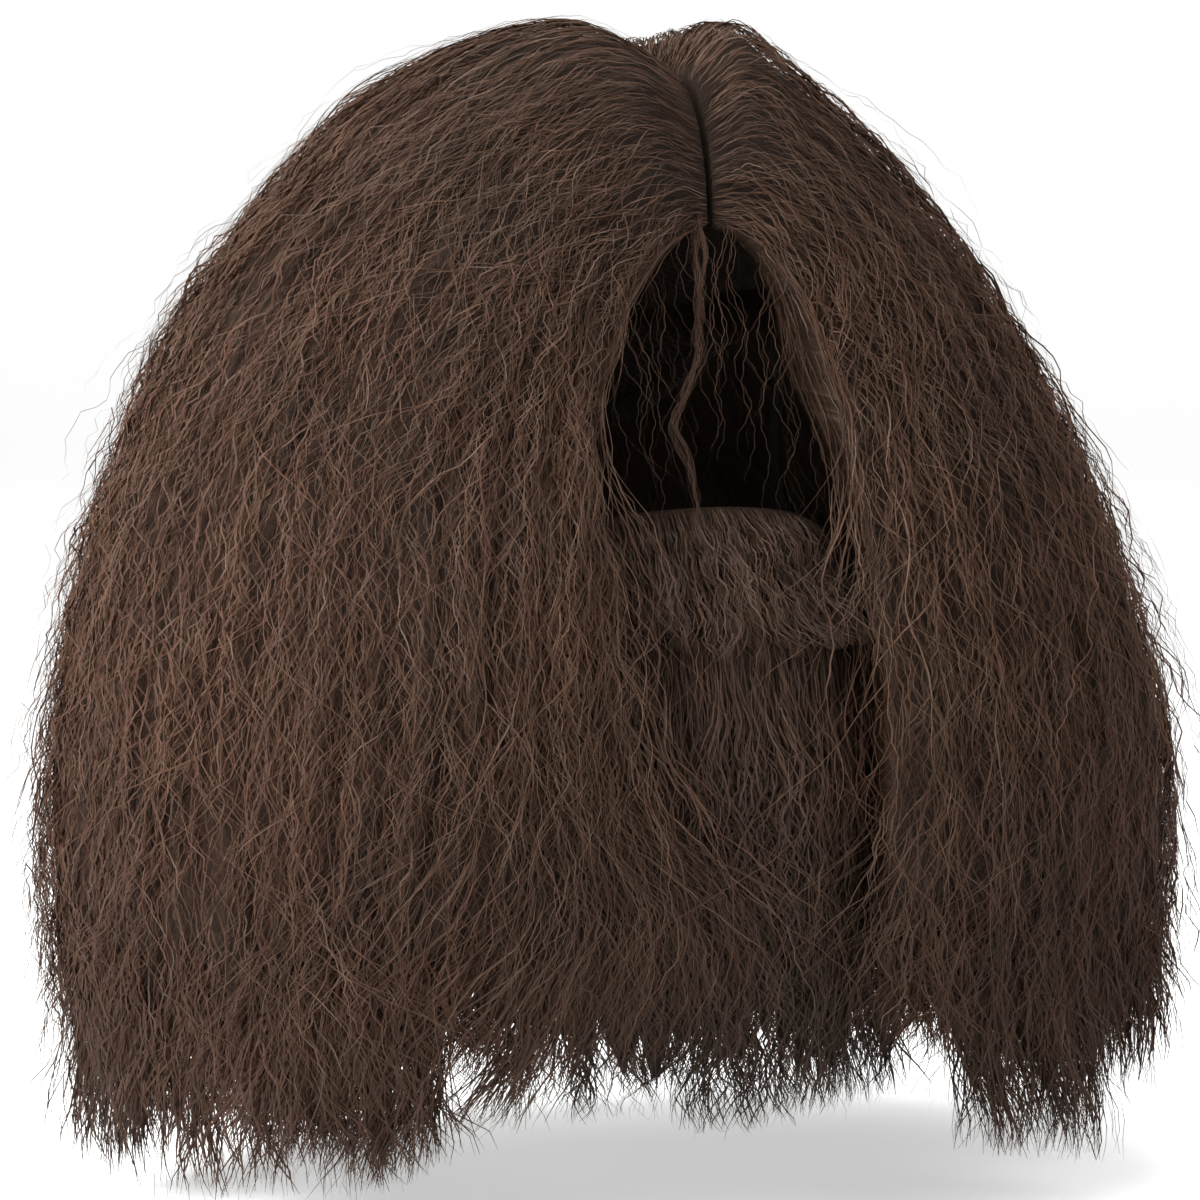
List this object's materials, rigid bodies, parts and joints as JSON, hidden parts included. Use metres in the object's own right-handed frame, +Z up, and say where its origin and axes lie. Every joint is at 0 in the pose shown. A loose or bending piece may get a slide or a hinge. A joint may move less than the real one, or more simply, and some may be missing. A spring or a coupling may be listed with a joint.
{
  "type": "long frizzy wig with full beard",
  "caption": "Very full, frizzy dark brown wig with a parting and a forelock, and a full beard on a cloth panel strapped to the net cap, open for the head and face.",
  "frame": {"origin": "the point inside the cap where the crown of the wearer's head touches it", "axes": "+Z up, the face looks along -Y, +X towards the wearer's left"},
  "size_m": [0.5105, 0.3427, 0.4914],
  "materials": {
    "hair": "dark brown frizzy synthetic hair",
    "beard": "darker brown wavy synthetic hair",
    "cap_net": "dark net with sewn rows of weft",
    "ribbon": "ribbed dark ribbon",
    "backing_cloth": "knitted dark cloth",
    "strap": "ribbed dark elastic"
  },
  "bodies": {
    "root": {"cap": "cap_net", "cap_band": "ribbon", "hair_front_right": "hair", "hair_side_right": "hair", "hair_back": "hair", "hair_side_left": "hair", "hair_front_left": "hair", "forelock": "hair", "beard_backing": "backing_cloth", "moustache": "beard", "beard_hair": "beard", "beard_strap_right": "strap", "beard_strap_left": "strap"}
  },
  "joints": []
}
